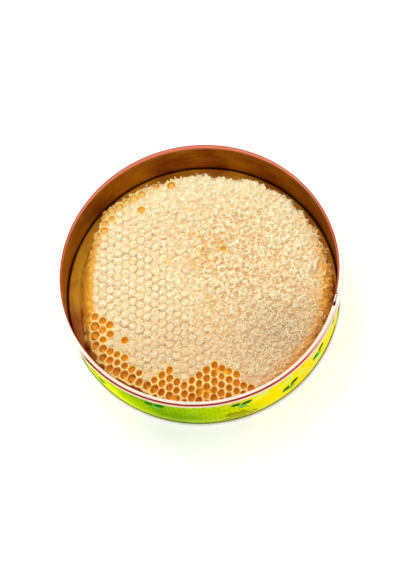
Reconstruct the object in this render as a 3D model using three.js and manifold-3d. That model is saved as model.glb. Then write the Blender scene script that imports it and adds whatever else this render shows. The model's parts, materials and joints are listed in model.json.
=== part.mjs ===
// A round of natural comb honey in its own shallow tin. Millimetres, +Z up, origin at the centre of the
// tin's base. The comb lies flat, so its cells stand upright: most are capped with wax, some are open.
import * as THREE from "three";
import { mergeVertices } from "three/addons/utils/BufferGeometryUtils.js";
import Module from "manifold-3d";

const wasm = await Module();
wasm.setup();

// ---- The tin: a rolled body with a curled rim, seamed to a recessed bottom end ----
const TIN_RADIUS = 100; // outside the curl and outside the bottom seam
const TIN_HEIGHT = 46;
const CURL_RADIUS = 2.1; // the rolled rim's own section
const WALL_INNER = 98.2;
const WALL_THICK = 0.4;
const WALL_FOOT = 1.2; // the wall's lower edge, inside the seam
const FLOOR_TOP = 8;
const SHEET = 0.4; // the bottom end's sheet
const SEAM_HEIGHT = 3.2;
const SEAM_INNER = 97.3; // the countersunk wall's underside
const SEAM_CORNER = 0.4; // rounding of the folded seam
const SEAM_GAP = 0.4; // clearance between the body's wall and the end that is folded round it
const FLOOR_ROUND = 1.4; // radius where the floor turns down into the crevice
const FLOOR_ROUND_STEPS = 3;
const RING_GROOVE = { radius: 89.5, width: 3, depth: 0.5 }; // expansion ring pressed into the floor
const TIN_STEPS = 60; // steps round the tin
// The open rim is a little out of round: by how much, and the direction of its longer axis. The foot is round.
const RIM_OVAL = { out: 0.78, angle: 18.6 };
const CURL_STEPS = 10;

// ---- The side seam: a welded lap in the body, with the curl's cut end beside it ----
const SIDE_SEAM = { angle: -24.5, width: 6, proud: 0.3 };
const CURL_NOTCH = { angle: -26.6, width: 0.9, depth: 2.2 };

// ---- The comb ----
const CELL_PITCH = 6.2; // between the centres of neighbouring cells
const ROW_ANGLE = 21; // direction of one of the three rows of cells, in degrees
const FIRST_CELL = { x: -59, y: -37.6 }; // a cell's centre, from which the rows are laid out
// The rows crowd together and turn upwards towards the near right, more and more below the level "from".
const ROW_BEND = { pivot: -61.6, from: 60, over: 140, squeeze: 0.031, lift: 0.088 };
const ROW_SAG = { x: -79, y: -38, reach: 16, by: [0.35, -2.3] }; // and they sag at the left edge
const COMB_CENTRE = { x: 4, y: -8.6 }; // the comb lies against the near right of the tin
const COMB_RADIUS = 88.2;
const COMB_TOP = 34.2; // height of the capped face near the middle
const REST_GAP = 0.3; // between the comb's underside and the floor
const COMB_BASE = FLOOR_TOP + REST_GAP;
const COMB_CROWN = 1.6; // how much lower the face is near the outline
const WALL_CLEAR = 96.4; // the comb stays inside this radius of the tin
// Where the outline bulges beyond the circle, or falls short: direction, spread in degrees, height.
const BULGES = [
  { angle: 127, spread: 17, out: 6.8 },
  { angle: -151, spread: 19, out: 6 },
  { angle: 49, spread: 13, out: 1.4 },
  { angle: 71, spread: 9, out: -2.2 },
];
// Where the comb's edge was pressed down and its outer cells lean outwards: direction, spread, drop, width.
const PRESSED_EDGES = [
  { angle: 178, spread: 42, drop: 8, width: 8 },
  { angle: -18, spread: 38, drop: 5, width: 8 },
];
const SIDE_SPREAD = 2.4; // how far the comb's foot stands out from its pressed edge
const EDGE_CELLS = 2; // an outer cell is there if its centre lies this far inside the outline
const MIDRIB = { height: 12.5, recess: 0.7 }; // the wax sheet between the two layers of cells

// ---- The cells ----
const CAP_RISE = 0.9; // a neat cap above the joints round it
const CAP_FLAT = 0.62; // share of a neat cell that its cap's level top takes
const NEAT = 0.01; // roughness up to which caps are neat
const CAP_SINK = -0.8; // a torn cap in the rough part
const ROUGH_RELIEF = 1.5; // height of the torn wax ridges in the rough part
const PIT_DEPTH = 4.2;
const PIT_MOUTH = 0.72; // share of the cell that the open mouth takes
const PIT_FOOT = 0.6; // share of the cell that the honey at its bottom takes
const LIP_DROP = 0.2; // from the crest of an open cell's wall to its mouth
const CREST_RISE = 0.45; // walls between open cells stand above the face
const SHAKE = 0.25; // how far a cell lies off its place in the rows
const RAGGED = 0.8; // unevenness of the broken walls along the outline
// The broken outline: how far its corners are drawn to the smooth outline, and how far inside it they lie.
const EDGE_EVEN = 0.62;
const EDGE_INSET = 0.9;
const EDGE_TORN = 1.6;
// The comb's rough, torn region, where its caps were scraped: centre, reach.
const ROUGH = { x: 42, y: 7.4, reach: 62 };
// Patches of open cells: each a thick line between two points.
const OPEN_PATCHES = [
  { from: [-78, -19], to: [-68, -24], reach: 3.6 },
  { from: [-77, -26], to: [-70, -31], reach: 4.6 },
  { from: [-79, -36], to: [-77, -62], reach: 6.4 },
  { from: [-74, -48], to: [-58, -66.5], reach: 8.9 },
  { from: [-60, -68], to: [-34, -84], reach: 5.6 },
  { from: [-44, -71], to: [-31, -66], reach: 4 },
  { from: [-45, -77], to: [-22, -88], reach: 9.4 },
  { from: [-33, -72], to: [-27, -75], reach: 3 },
  { from: [-20, -77], to: [-13, -74.5], reach: 3.2 },
  { from: [-18, -84], to: [8, -84], reach: 7.6 },
  { from: [-9, -74], to: [1, -70.5], reach: 4.4 },
  { from: [3, -80], to: [15, -87], reach: 6.2 },
  { from: [4, -73], to: [12.5, -76], reach: 3.4 },
  { from: [37, -84], to: [43, -81], reach: 2.6 },
  { from: [-66, 46], to: [-50, 63], reach: 3.4 },
  { from: [-44, 69], to: [-29, 72], reach: 3.2 },
  { from: [-20, 76], to: [-6, 77], reach: 3.2 },
];
// Cells that stand open by themselves.
const OPEN_ALONE = { places: [[-59, -38], [20, 16], [-33.5, 58.7]], reach: 3 };
const OPEN_EDGE = { angle: -108, spread: 44, width: 6 }; // the cells under the near rim are all open

const radians = THREE.MathUtils.degToRad;

// ---- Helpers for every piece ----
function toSolid(geometry) {
  const bare = geometry.clone();
  bare.deleteAttribute("normal");
  bare.deleteAttribute("uv");
  const merged = mergeVertices(bare, 1e-4);
  return new wasm.Manifold(
    new wasm.Mesh({
      numProp: 3,
      vertProperties: new Float32Array(merged.attributes.position.array),
      triVerts: new Uint32Array(merged.index.array),
    }),
  );
}

function toGeometry(solid) {
  const mesh = solid.getMesh();
  const geometry = new THREE.BufferGeometry();
  geometry.setAttribute("position", new THREE.BufferAttribute(mesh.vertProperties, 3));
  geometry.setIndex(new THREE.BufferAttribute(mesh.triVerts, 1));
  geometry.computeVertexNormals();
  return geometry;
}

// Turns a closed [radius, height] outline, listed with the metal on its left, about Z.
function turned(outline) {
  const points = outline.map(([radius, height]) => new THREE.Vector2(radius, height));
  return new THREE.LatheGeometry(points, TIN_STEPS).rotateX(Math.PI / 2);
}

function arcPoints(centreRadius, centreHeight, radius, fromDegrees, toDegrees, steps) {
  const points = [];
  for (let i = 0; i <= steps; i += 1) {
    const angle = radians(fromDegrees + ((toDegrees - fromDegrees) * i) / steps);
    points.push([centreRadius + radius * Math.cos(angle), centreHeight + radius * Math.sin(angle)]);
  }
  return points;
}

// A flat-ended piece of a ring, between two radii, centred on one direction.
function ringPiece(inner, outer, angle, width, bottom, top) {
  const half = width / (inner + outer);
  const shape = new THREE.Shape();
  shape.absarc(0, 0, outer, radians(angle) - half, radians(angle) + half, false);
  shape.absarc(0, 0, inner, radians(angle) + half, radians(angle) - half, true);
  shape.closePath();
  const piece = new THREE.ExtrudeGeometry(shape, {
    depth: top - bottom,
    bevelEnabled: false,
    curveSegments: 2,
  });
  return piece.translate(0, 0, bottom);
}

// ---- Tin body: wall, curled rim, welded side seam ----
// How far the wall stands outside a true circle at this angle and height.
function rimOval(angle, height) {
  return RIM_OVAL.out * Math.cos(2 * radians(angle - RIM_OVAL.angle)) * (height / TIN_HEIGHT);
}

function tinBody() {
  const wallOuter = WALL_INNER + WALL_THICK;
  const curlCentre = TIN_RADIUS - CURL_RADIUS;
  const curlHeight = TIN_HEIGHT - CURL_RADIUS;
  const towards = (radius) => THREE.MathUtils.radToDeg(-Math.acos((radius - curlCentre) / CURL_RADIUS));
  const curl = arcPoints(
    curlCentre,
    curlHeight,
    CURL_RADIUS,
    towards(wallOuter),
    towards(WALL_INNER) + 360,
    CURL_STEPS,
  );
  const outline = [[WALL_INNER, WALL_FOOT], [wallOuter, WALL_FOOT], ...curl, [WALL_INNER, WALL_FOOT]];
  const body = toSolid(turned(outline));
  const lap = ringPiece(
    WALL_INNER + WALL_THICK / 2,
    wallOuter + SIDE_SEAM.proud,
    SIDE_SEAM.angle,
    SIDE_SEAM.width,
    SEAM_HEIGHT + SEAM_GAP,
    curlHeight - CURL_RADIUS / 2,
  );
  const curlInner = TIN_RADIUS - 2 * CURL_RADIUS;
  const notch = ringPiece(
    curlInner - CURL_NOTCH.depth,
    curlInner + CURL_NOTCH.depth,
    CURL_NOTCH.angle,
    CURL_NOTCH.width,
    curlHeight,
    TIN_HEIGHT + CURL_RADIUS,
  );
  const round = toGeometry(body.add(toSolid(lap)).subtract(toSolid(notch)));
  const points = round.attributes.position;
  for (let i = 0; i < points.count; i += 1) {
    const [x, y, z] = [points.getX(i), points.getY(i), points.getZ(i)];
    const fit = 1 + rimOval(THREE.MathUtils.radToDeg(Math.atan2(y, x)), z) / Math.hypot(x, y);
    points.setXYZ(i, x * fit, y * fit, z);
  }
  return round;
}

// ---- Tin bottom: recessed floor, countersunk wall, and the seam folded round the body's foot ----
function tinBottom() {
  const countersink = SEAM_INNER + SHEET;
  const hookInner = WALL_INNER + WALL_THICK + SEAM_GAP;
  const channelFloor = WALL_FOOT - SEAM_GAP;
  const floorUnder = FLOOR_TOP - SHEET;
  const grooveIn = RING_GROOVE.radius - RING_GROOVE.width / 2;
  const grooveOut = RING_GROOVE.radius + RING_GROOVE.width / 2;
  const turnRadius = countersink - FLOOR_ROUND;
  const turnHeight = FLOOR_TOP - FLOOR_ROUND;
  const turn = arcPoints(turnRadius, turnHeight, FLOOR_ROUND, 0, 90, FLOOR_ROUND_STEPS);
  return turned([
    [0, floorUnder],
    [turnRadius, floorUnder],
    [SEAM_INNER, turnHeight],
    [SEAM_INNER, SEAM_CORNER],
    [SEAM_INNER + SEAM_CORNER, 0],
    [TIN_RADIUS - SEAM_CORNER, 0],
    [TIN_RADIUS, SEAM_CORNER],
    [TIN_RADIUS, SEAM_HEIGHT - SEAM_CORNER],
    [TIN_RADIUS - SEAM_CORNER, SEAM_HEIGHT],
    [hookInner, SEAM_HEIGHT],
    [hookInner, channelFloor],
    [countersink, channelFloor],
    ...turn,
    [grooveOut, FLOOR_TOP],
    [RING_GROOVE.radius, FLOOR_TOP - RING_GROOVE.depth],
    [grooveIn, FLOOR_TOP],
    [0, FLOOR_TOP],
  ]);
}

// ---- Comb: shape of the slab ----
// A repeatable random number from 0 to 1 for a place in the comb's lattice.
function chance(i, j, salt) {
  const wave = Math.sin(i * 127.1 + j * 311.7 + salt * 74.7) * 43758.5453;
  return wave - Math.floor(wave);
}

function turnBetween(a, b) {
  return Math.abs(((((a - b) % 360) + 540) % 360) - 180);
}

function bell(angle, { angle: middle, spread }) {
  return Math.exp(-((turnBetween(angle, middle) / spread) ** 2));
}

// The comb's outline: how far it reaches from COMB_CENTRE in a direction given in degrees.
function outlineReach(angle) {
  let reach = COMB_RADIUS;
  for (const bulge of BULGES) reach += bulge.out * bell(angle, bulge);
  const along = COMB_CENTRE.x * Math.cos(radians(angle)) + COMB_CENTRE.y * Math.sin(radians(angle));
  const offsetSquared = COMB_CENTRE.x ** 2 + COMB_CENTRE.y ** 2;
  const toTin = -along + Math.sqrt(along ** 2 - offsetSquared + WALL_CLEAR ** 2);
  return Math.min(reach, toTin);
}

function place(x, y) {
  const dx = x - COMB_CENTRE.x;
  const dy = y - COMB_CENTRE.y;
  const angle = THREE.MathUtils.radToDeg(Math.atan2(dy, dx));
  return { angle, out: Math.hypot(dx, dy), inside: outlineReach(angle) - Math.hypot(dx, dy) };
}

// Height of the comb's face, before the relief of its cells.
function faceHeight(x, y) {
  const { angle, out, inside } = place(x, y);
  let height = COMB_TOP - COMB_CROWN * (out / COMB_RADIUS) ** 2;
  for (const edge of PRESSED_EDGES) {
    const fall = THREE.MathUtils.clamp(1 - inside / edge.width, 0, 1.2);
    height -= edge.drop * bell(angle, edge) * fall ** 2;
  }
  return height;
}

function roughness(x, y) {
  const away = Math.hypot(x - ROUGH.x, y - ROUGH.y) / ROUGH.reach;
  return THREE.MathUtils.smoothstep(1.25 - away, 0, 0.7);
}

function isOpen(x, y) {
  const { angle, inside } = place(x, y);
  if (inside < OPEN_EDGE.width && turnBetween(angle, OPEN_EDGE.angle) < OPEN_EDGE.spread) return true;
  if (OPEN_ALONE.places.some(([ax, ay]) => Math.hypot(x - ax, y - ay) < OPEN_ALONE.reach)) return true;
  const point = new THREE.Vector3(x, y, 0);
  const nearest = new THREE.Vector3();
  return OPEN_PATCHES.some(({ from, to, reach }) => {
    const line = new THREE.Line3(new THREE.Vector3(...from, 0), new THREE.Vector3(...to, 0));
    line.closestPointToPoint(point, true, nearest);
    return nearest.distanceTo(point) < reach;
  });
}

// ---- Comb: its cells ----
// The six corners round a cell, each named by the triangle of three cells that meet there.
const CORNERS = [
  ["up", 0, 0],
  ["down", -1, 0],
  ["up", -1, 0],
  ["down", -1, -1],
  ["up", 0, -1],
  ["down", 0, -1],
];
const CELLS_AT_CORNER = {
  up: [[0, 0], [1, 0], [0, 1]],
  down: [[1, 1], [1, 0], [0, 1]],
};

function cellCentre(i, j) {
  const a = radians(ROW_ANGLE);
  const b = radians(ROW_ANGLE + 60);
  const x = FIRST_CELL.x + CELL_PITCH * (i * Math.cos(a) + j * Math.cos(b));
  const y = FIRST_CELL.y + CELL_PITCH * (i * Math.sin(a) + j * Math.sin(b));
  const bend = (x - ROW_BEND.pivot) * Math.max(0, (ROW_BEND.from - y) / ROW_BEND.over) ** 2;
  const sag = Math.exp(-((Math.hypot(x - ROW_SAG.x, y - ROW_SAG.y) / ROW_SAG.reach) ** 2));
  const shake = SHAKE * (1 + 2 * roughness(x, y));
  return [
    x - ROW_BEND.squeeze * bend + ROW_SAG.by[0] * sag + shake * (2 * chance(i, j, 1) - 1),
    y + ROW_BEND.lift * bend + ROW_SAG.by[1] * sag + shake * (2 * chance(i, j, 2) - 1),
  ];
}

function combCells() {
  const cells = new Map();
  const most = Math.ceil((3 * COMB_RADIUS) / CELL_PITCH);
  for (let i = -most; i <= most; i += 1) {
    for (let j = -most; j <= most; j += 1) {
      const [x, y] = cellCentre(i, j);
      if (place(x, y).inside > EDGE_CELLS) cells.set(`${i},${j}`, { i, j, x, y, open: isOpen(x, y) });
    }
  }
  return cells;
}

// ---- Comb: one closed surface, cell by cell, then its sides and underside ----
function combGeometry() {
  const cells = combCells();
  const points = [];
  const faces = [];
  const corners = new Map();
  const edges = new Map(); // each edge of a cell that no other cell shares, by the corner it starts from

  function addPoint(x, y, z) {
    points.push([x, y, z]);
    return points.length - 1;
  }

  function cornerPoint(kind, i, j) {
    const key = `${kind},${i},${j}`;
    if (corners.has(key)) return corners.get(key);
    const around = CELLS_AT_CORNER[kind].map(([di, dj]) => [i + di, j + dj]);
    const present = around.map(([ci, cj]) => cells.get(`${ci},${cj}`)).filter(Boolean);
    const centres = around.map(([ci, cj]) => cellCentre(ci, cj));
    let x = (centres[0][0] + centres[1][0] + centres[2][0]) / 3;
    let y = (centres[0][1] + centres[1][1] + centres[2][1]) / 3;
    const salt = kind === "up" ? 3 : 4;
    if (present.length < 3) {
      const { out, inside } = place(x, y);
      const further = EDGE_EVEN * (inside - EDGE_INSET) + EDGE_TORN * (chance(i, j, salt + 6) - 0.5);
      x += (further / out) * (x - COMB_CENTRE.x);
      y += (further / out) * (y - COMB_CENTRE.y);
    }
    let z = faceHeight(x, y) + ROUGH_RELIEF * roughness(x, y) * (chance(i, j, salt) - 0.35);
    if (present.some((cell) => cell.open)) z += CREST_RISE;
    if (present.length < 3) z += RAGGED * (chance(i, j, salt + 2) - 0.5);
    corners.set(key, addPoint(x, y, z));
    return corners.get(key);
  }

  function joinRings(outer, inner) {
    outer.forEach((from, k) => {
      const next = (k + 1) % outer.length;
      faces.push([from, outer[next], inner[next]], [from, inner[next], inner[k]]);
    });
  }

  function ringInside(cell, ring, share, height) {
    return ring.map((index) => {
      const [x, y] = points[index];
      return addPoint(cell.x + share * (x - cell.x), cell.y + share * (y - cell.y), height(index));
    });
  }

  function closeLevel(ring) {
    for (let k = 1; k < ring.length - 1; k += 1) faces.push([ring[0], ring[k], ring[k + 1]]);
  }

  for (const cell of cells.values()) {
    const ring = CORNERS.map(([kind, di, dj]) => cornerPoint(kind, cell.i + di, cell.j + dj));
    const face = faceHeight(cell.x, cell.y);
    const rough = roughness(cell.x, cell.y);
    const luck = chance(cell.i, cell.j, 7);
    if (cell.open) {
      const foot = face - PIT_DEPTH * (0.8 + 0.4 * luck);
      const mouth = ringInside(cell, ring, PIT_MOUTH, (index) => points[index][2] - LIP_DROP);
      const bed = ringInside(cell, ring, PIT_FOOT, () => foot);
      joinRings(ring, mouth);
      joinRings(mouth, bed);
      closeLevel(bed);
    } else if (rough < NEAT) {
      const cap = ringInside(cell, ring, CAP_FLAT, () => face + CAP_RISE * (0.8 + 0.4 * luck));
      joinRings(ring, cap);
      closeLevel(cap);
    } else {
      const peak = addPoint(cell.x, cell.y, face + THREE.MathUtils.lerp(CAP_RISE, CAP_SINK, rough * luck));
      ring.forEach((from, k) => faces.push([from, ring[(k + 1) % ring.length], peak]));
    }
    ring.forEach((from, k) => {
      const to = ring[(k + 1) % ring.length];
      if (edges.get(to) === from) edges.delete(to);
      else edges.set(from, to);
    });
  }

  // The broken edge, as one loop of corners.
  const rim = [edges.keys().next().value];
  while (edges.get(rim[rim.length - 1]) !== rim[0]) rim.push(edges.get(rim[rim.length - 1]));
  if (rim.length !== edges.size) throw new Error("the comb's outline is not one loop");

  // The sides fall to the midrib and then to the floor, standing out where the edge was pressed.
  function sideRing(height, recess, spreadShare) {
    return rim.map((index) => {
      const [x, y] = points[index];
      const { angle, out } = place(x, y);
      let spread = 0;
      for (const edge of PRESSED_EDGES) spread += SIDE_SPREAD * bell(angle, edge);
      const farthest = outlineReach(angle) + spread - recess;
      const reach = Math.min(out + spreadShare * spread - recess, farthest);
      const turn = radians(angle);
      const sideX = COMB_CENTRE.x + reach * Math.cos(turn);
      const sideY = COMB_CENTRE.y + reach * Math.sin(turn);
      const fit = Math.min(1, WALL_CLEAR / Math.hypot(sideX, sideY));
      return addPoint(sideX * fit, sideY * fit, height);
    });
  }

  const midrib = sideRing(COMB_BASE + MIDRIB.height, MIDRIB.recess, 0.7);
  const foot = sideRing(COMB_BASE, 0, 1);
  joinRings(midrib, rim);
  joinRings(foot, midrib);
  const footOutline = foot.map((index) => new THREE.Vector2(points[index][0], points[index][1]));
  for (const [a, b, c] of THREE.ShapeUtils.triangulateShape(footOutline, [])) {
    faces.push([foot[c], foot[b], foot[a]]);
  }

  const geometry = new THREE.BufferGeometry();
  geometry.setAttribute("position", new THREE.Float32BufferAttribute(points.flat(), 3));
  geometry.setIndex(faces.flat());
  geometry.computeVertexNormals();
  return geometry;
}

// ---- Assembly ----
const printedTin = new THREE.MeshStandardMaterial({ color: 0xb9cc2a, roughness: 0.35, metalness: 0.2 });
const lacqueredTin = new THREE.MeshStandardMaterial({ color: 0xb07a22, roughness: 0.3, metalness: 0.7 });
const waxAndHoney = new THREE.MeshStandardMaterial({ color: 0xf3d9a2, roughness: 0.55, metalness: 0 });

const combInTin = new THREE.Group();
for (const [name, geometry, material] of [
  ["tin_body", tinBody(), printedTin],
  ["tin_bottom", tinBottom(), lacqueredTin],
  ["comb", combGeometry(), waxAndHoney],
]) {
  const piece = new THREE.Mesh(geometry, material);
  piece.name = name;
  combInTin.add(piece);
}

export default combInTin;
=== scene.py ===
import json
import math

import bpy
import numpy as np
from mathutils import Matrix, Vector

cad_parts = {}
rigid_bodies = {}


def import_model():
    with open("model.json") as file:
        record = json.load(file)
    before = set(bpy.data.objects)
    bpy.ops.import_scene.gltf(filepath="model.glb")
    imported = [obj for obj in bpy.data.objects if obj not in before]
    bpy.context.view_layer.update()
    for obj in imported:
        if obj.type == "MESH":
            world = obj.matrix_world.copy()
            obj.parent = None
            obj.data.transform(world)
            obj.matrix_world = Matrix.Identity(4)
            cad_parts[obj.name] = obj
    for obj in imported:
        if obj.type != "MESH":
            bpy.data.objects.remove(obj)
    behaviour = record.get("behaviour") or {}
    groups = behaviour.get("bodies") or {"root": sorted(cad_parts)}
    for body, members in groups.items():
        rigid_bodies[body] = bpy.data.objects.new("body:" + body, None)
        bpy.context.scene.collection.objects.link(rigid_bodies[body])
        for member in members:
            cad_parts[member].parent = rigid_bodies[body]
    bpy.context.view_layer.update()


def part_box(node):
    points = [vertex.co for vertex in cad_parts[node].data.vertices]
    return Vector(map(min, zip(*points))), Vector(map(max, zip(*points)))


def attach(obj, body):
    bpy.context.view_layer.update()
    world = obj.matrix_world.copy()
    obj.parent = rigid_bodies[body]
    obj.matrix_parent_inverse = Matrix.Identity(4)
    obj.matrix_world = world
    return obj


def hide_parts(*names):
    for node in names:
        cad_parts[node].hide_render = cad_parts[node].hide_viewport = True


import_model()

# ---- Tin body ----
# A strip of tinplate bent into a ring, welded at a lap, with its upper edge rolled into a bead. It is printed
# in lime and yellow outside, enamelled white and red on the bead, and lacquered gold inside.
MM = 0.001  # sizes are in millimetres and angles in degrees
TIN_RADIUS = 100.0
WALL_INNER = 98.2
WALL_OUTER = 98.6
WALL_FOOT = 1.2
WALL_PRINT_FOOT = 3.6
WALL_ROUND = 2 * math.pi * WALL_OUTER
WALL_POINTS = 9
INSIDE_POINTS = 8
INSIDE_SPAN = (38, 4)  # from, to
BEAD_RADIUS = 2.1
BEAD_CENTRE = TIN_RADIUS - BEAD_RADIUS
BEAD_HEIGHT = 43.9
TIN_HEIGHT = 46
BEAD_STEPS = 28
TURN_STEPS = 240
LAP_ANGLE = -24.5
LAP_HALF_WIDTH = 1.75
LAP_PROUD = 0.3
NOTCH_ANGLE = -26.6
NOTCH_HALF_WIDTH = 0.98
NOTCH_TURN = 146.0  # where round the bead it is cut, and where the weld marks run
NOTCH_DEPTH = 0.62
WELD_TURN = 116.0
WELD_REACH = 5.4
BARE_ANGLE = -35.0
BARE_HALF_WIDTH = 12.5
RIM_OVAL = 0.78  # how far the rim stands out on its longer axis, and in on the shorter one
OVAL_ANGLE = 18.6
LINING_TURN = 133
BEAD_WHITE = (252, 244, 230)
BEAD_CREAM = (240, 222, 196)
BEAD_LINE = (222, 176, 140)
BEAD_RED = (186, 26, 24)
BEAD_DEEP_RED = (168, 40, 62)
BEAD_DARK_RED = (152, 8, 14)
BEAD_SALMON_REFLECTION = (240, 140, 108)
BEAD_RUBBED = (220, 200, 176)
NOTCH_SHADE_AND_WELD_MARKS = (16, 15, 12)
LACQUER_GOLD = (248, 198, 50)
LACQUER_BROWN = (176, 100, 20)
HONEY_SMEAR = (176, 104, 30)
CREVICE_SHADE_BROWN = (84, 42, 10)
LIME = (188, 216, 8)
LIME_DEEP = (118, 168, 4)
LIME_LIGHT = (176, 206, 26)
LIME_CELL = (84, 130, 0)
LIME_FOOT = (226, 244, 90)
PRINT_YELLOW = (255, 226, 0)
PRINT_MINT = (196, 240, 130)
LEAF_DARK = (18, 92, 14)
LEAF_GREEN = (24, 112, 30)
LEAF_LIGHT = (110, 190, 70)
OCHRE = (126, 80, 6)
OCHRE_DARK = (96, 60, 12)
SPRIGS = [  # where each one's stem stands in degrees, its height, its lean
    (-146, 17, -24), (-118, 30, 12), (-83, 30, -8), (-61, 15, 22), (-44, 22, 30), (-29, 30, 64),
    (-12, 22, 40), (12, 18, 10), (38, 28, -15), (66, 16, 20), (97, 27, -10), (128, 18, 16), (156, 28, -20),
]


class Value:
    """A number or colour of a node tree; sums and products of it add the nodes that work them out."""

    def __init__(self, tree, socket):
        self.tree = tree
        self.socket = socket

    def other(self, key):
        """Another output of the same node."""
        return Value(self.tree, self.socket.node.outputs[key])

    def maths(self, operation, *values):
        return wired(self.tree, "ShaderNodeMath", dict(enumerate(values)), operation=operation)

    def __add__(self, value):
        return self.maths("ADD", self, value)

    def __sub__(self, value):
        return self.maths("SUBTRACT", self, value)

    def __rsub__(self, value):
        return self.maths("SUBTRACT", value, self)

    def __mul__(self, value):
        return self.maths("MULTIPLY", self, value)

    def __truediv__(self, value):
        return self.maths("DIVIDE", self, value)

    def __rtruediv__(self, value):
        return self.maths("DIVIDE", value, self)

    def __pow__(self, value):
        return self.maths("POWER", self, value)

    def __abs__(self):
        return self.maths("ABSOLUTE", self)

    def most(self, value):
        return self.maths("MAXIMUM", self, value)

    def within(self, low, high, to_low=0.0, to_high=1.0):
        """The value moved from one range to another, and held inside it."""
        return wired(self.tree, "ShaderNodeMapRange", {0: self, 1: low, 2: high, 3: to_low, 4: to_high})

    def slide(self, start, end):
        """A number between two others, as far along as this value says."""
        return wired(self.tree, "ShaderNodeMix", {0: self, 2: start, 3: end})

    def tint(self, under, over):
        """One colour over another, as strongly as this value says."""
        return wired(self.tree, "ShaderNodeMix", {0: self, 6: under, 7: over}, 2, data_type="RGBA")

    def ramp(self, *stops):
        """The colour at this value's place among these (place, colour) stops."""
        made = wired(self.tree, "ShaderNodeValToRGB", {0: self})
        elements = made.socket.node.color_ramp.elements
        while len(elements) < len(stops):
            elements.new(0.5)
        for element, (place, colour) in zip(elements, stops):
            element.position = place
            element.color = paint(colour)
        return made


def paint(colour):
    """A screen colour, 0 to 255, as the linear values that a shader takes."""
    parts = [c / 255 for c in colour]
    return (*[c / 12.92 if c < 0.04045 else ((c + 0.055) / 1.055) ** 2.4 for c in parts], 1.0)


def wired(tree, kind, inputs=None, output=0, **settings):
    """Adds a node with its settings, with each input set or linked, and gives the value of one output."""
    made = tree.nodes.new(kind)
    for key, value in settings.items():
        setattr(made, key, value)
    for key, value in (inputs or {}).items():
        socket = made.inputs[key]
        if isinstance(value, Value):
            tree.links.new(value.socket, socket)
        else:
            screen_colour = socket.type == "RGBA" and len(value) == 3
            socket.default_value = paint(value) if screen_colour else value
    return Value(tree, made.outputs[output])


def layered(colour, *layers):
    """A colour with others laid over it in turn, from (share, colour) pairs."""
    for share, over in layers:
        colour = share.tint(colour, over)
    return colour


def spot(tree):
    """The place on the finished piece."""
    return wired(tree, "ShaderNodeTexCoord", output="Object")


def axes(vector):
    x = wired(vector.tree, "ShaderNodeSeparateXYZ", {0: vector})
    return x, x.other(1), x.other(2)


def grain(tree, size, detail=3.0, stretch=None, place=None):
    """Noise whose features are about this many millimetres across."""
    place = place or spot(tree)
    if stretch:
        place = wired(tree, "ShaderNodeMapping", {0: place, 3: stretch})
    inputs = {"Vector": place, "Scale": 1 / (size * MM), "Detail": detail, "Roughness": 0.55}
    return wired(tree, "ShaderNodeTexNoise", inputs)


def reading(tree, name):
    """A number that the mesh carries at each point."""
    return wired(tree, "ShaderNodeAttribute", output="Fac", attribute_name=name)


def new_material(name, **constants):
    """An empty node material, its tree and its shader, with the shader's constants set."""
    material = bpy.data.materials.new(name)
    material.use_nodes = True
    shader = material.node_tree.nodes["Principled BSDF"]
    for key, value in constants.items():
        shader.inputs[key.replace("_", " ")].default_value = value
    return material, material.node_tree, shader


def finish(shader, colour, relief, strength, depth, roughness=None):
    """Gives the shader its colour, its relief with a depth in millimetres, and a roughness that varies."""
    inputs = {"Strength": strength, "Distance": depth * MM, "Height": relief}
    normal = wired(colour.tree, "ShaderNodeBump", inputs)
    for key, value in (("Base Color", colour), ("Normal", normal), ("Roughness", roughness)):
        if value:
            colour.tree.links.new(value.socket, shader.inputs[key])


def new_piece(name, points, faces, materials=(), face_materials=None, numbers=None):
    """A smooth mesh object from points in millimetres, with its materials and its per-point numbers."""
    mesh = bpy.data.meshes.new(name)
    mesh.from_pydata(np.asarray(points, float) * MM, [], faces)
    for material in materials:
        mesh.materials.append(material)
    if face_materials is not None:
        mesh.polygons.foreach_set("material_index", np.asarray(face_materials, np.int32))
    for key, values in (numbers or {}).items():
        attribute = mesh.attributes.new(key, "FLOAT", "POINT")
        attribute.data.foreach_set("value", np.asarray(values, np.float32))
    mesh.polygons.foreach_set("use_smooth", np.ones(len(mesh.polygons), bool))
    mesh.validate()
    made = bpy.data.objects.new(name, mesh)
    bpy.context.scene.collection.objects.link(made)
    return made


def lacquer(name, on_floor):
    """Gold lacquer over tinplate, with smears of honey and a painted shadow in the crevice at the floor's
    edge;
    rings of brush marks on the floor, and on its left a painted reflection behind and painted shade in front.
    """
    material, tree, shader = new_material(name, Metallic=0.45 if on_floor else 0.85)
    place = spot(tree)
    x, y, z = axes(place)
    radius = wired(tree, "ShaderNodeVectorMath", {0: place}, "Value", operation="LENGTH")
    clouds = grain(tree, 34)
    rings = wired(tree, "ShaderNodeCombineXYZ", {0: radius, 1: clouds * 0.004})
    brushed = grain(tree, 1.4, 4, place=rings) if on_floor else grain(tree, 2.5, 3, (0.2, 0.2, 2))
    tone = clouds * 0.7 + brushed * 0.4
    # Painted light: on the left the floor is brightened behind as a painted reflection, and darkened in front
    # as painted shade.
    if on_floor:  # brighter on the left, and darker again towards the front
        tone = tone + x.within(-0.086, -0.06, 0.4, 0.0) * y.within(-0.008, 0.022, -0.75, 1.0)
    smears = z.within(0.008, 0.03, 1.0, 0.0) * grain(tree, 9, 5).within(0.5, 0.72)
    # Painted shade: a dark brown line in the crevice where the floor meets the wall.
    crevice = z.within(0.0084, 0.0092, 1.0, 0.0) * radius.within(0.0967, 0.0973)
    gold = tone.within(0.4, 0.74).tint(LACQUER_BROWN, LACQUER_GOLD)
    gold = layered(gold, (smears * 0.45, HONEY_SMEAR), (crevice * 0.6, CREVICE_SHADE_BROWN))
    relief = brushed + grain(tree, 1.6, 2) * 0.4
    finish(shader, gold, relief, 0.12, 0.05, tone.within(0.3, 0.8, 0.36, 0.5))
    return material


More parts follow.
